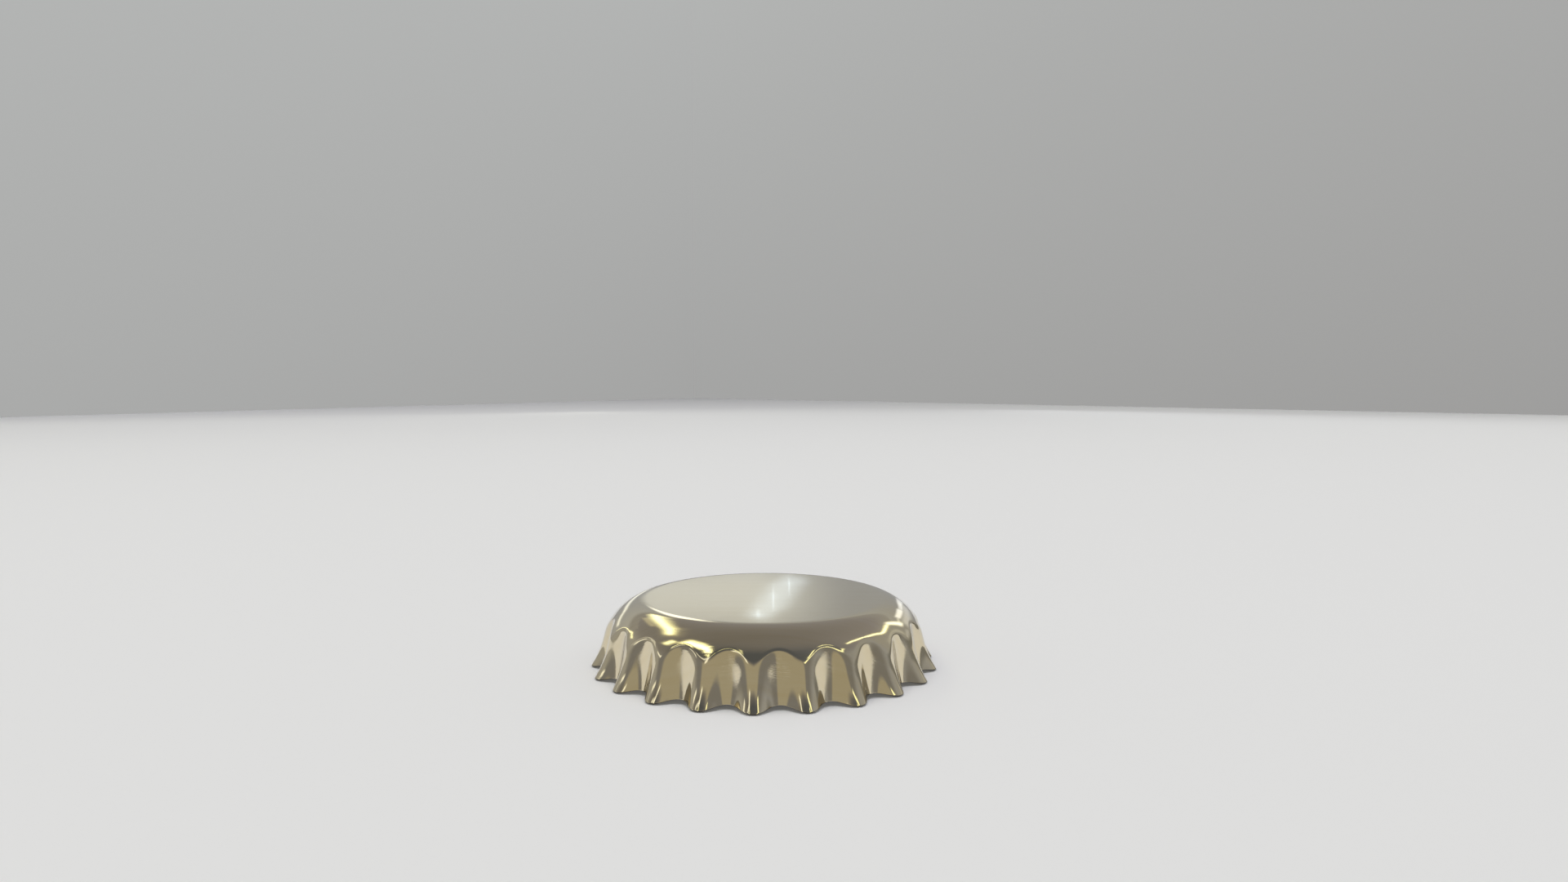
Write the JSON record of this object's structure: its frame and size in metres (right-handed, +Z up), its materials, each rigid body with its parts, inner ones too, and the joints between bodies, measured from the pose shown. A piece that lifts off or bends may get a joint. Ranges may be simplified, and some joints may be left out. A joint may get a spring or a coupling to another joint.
{
  "type": "crown bottle cap",
  "caption": "Fluted steel bottle cap with a flat panel, a rolled shoulder, a flared toothed skirt and a moulded sealing liner under the panel, before it is crimped on a bottle.",
  "frame": {"origin": "centre of the standing edge, on the surface the cap stands on", "axes": "+Z up through the middle of the panel, one tooth points along -Y"},
  "size_m": [0.0318, 0.032, 0.0063],
  "materials": {
    "gold_tinplate": "pale gold lacquer over bright tinplate, with a fine straight grain and mirror-like flutes",
    "liner_compound": "off-white moulded sealing compound, slightly translucent and satin smooth"
  },
  "bodies": {
    "root": {"crown_shell": "gold_tinplate", "sealing_liner": "liner_compound"}
  },
  "joints": []
}
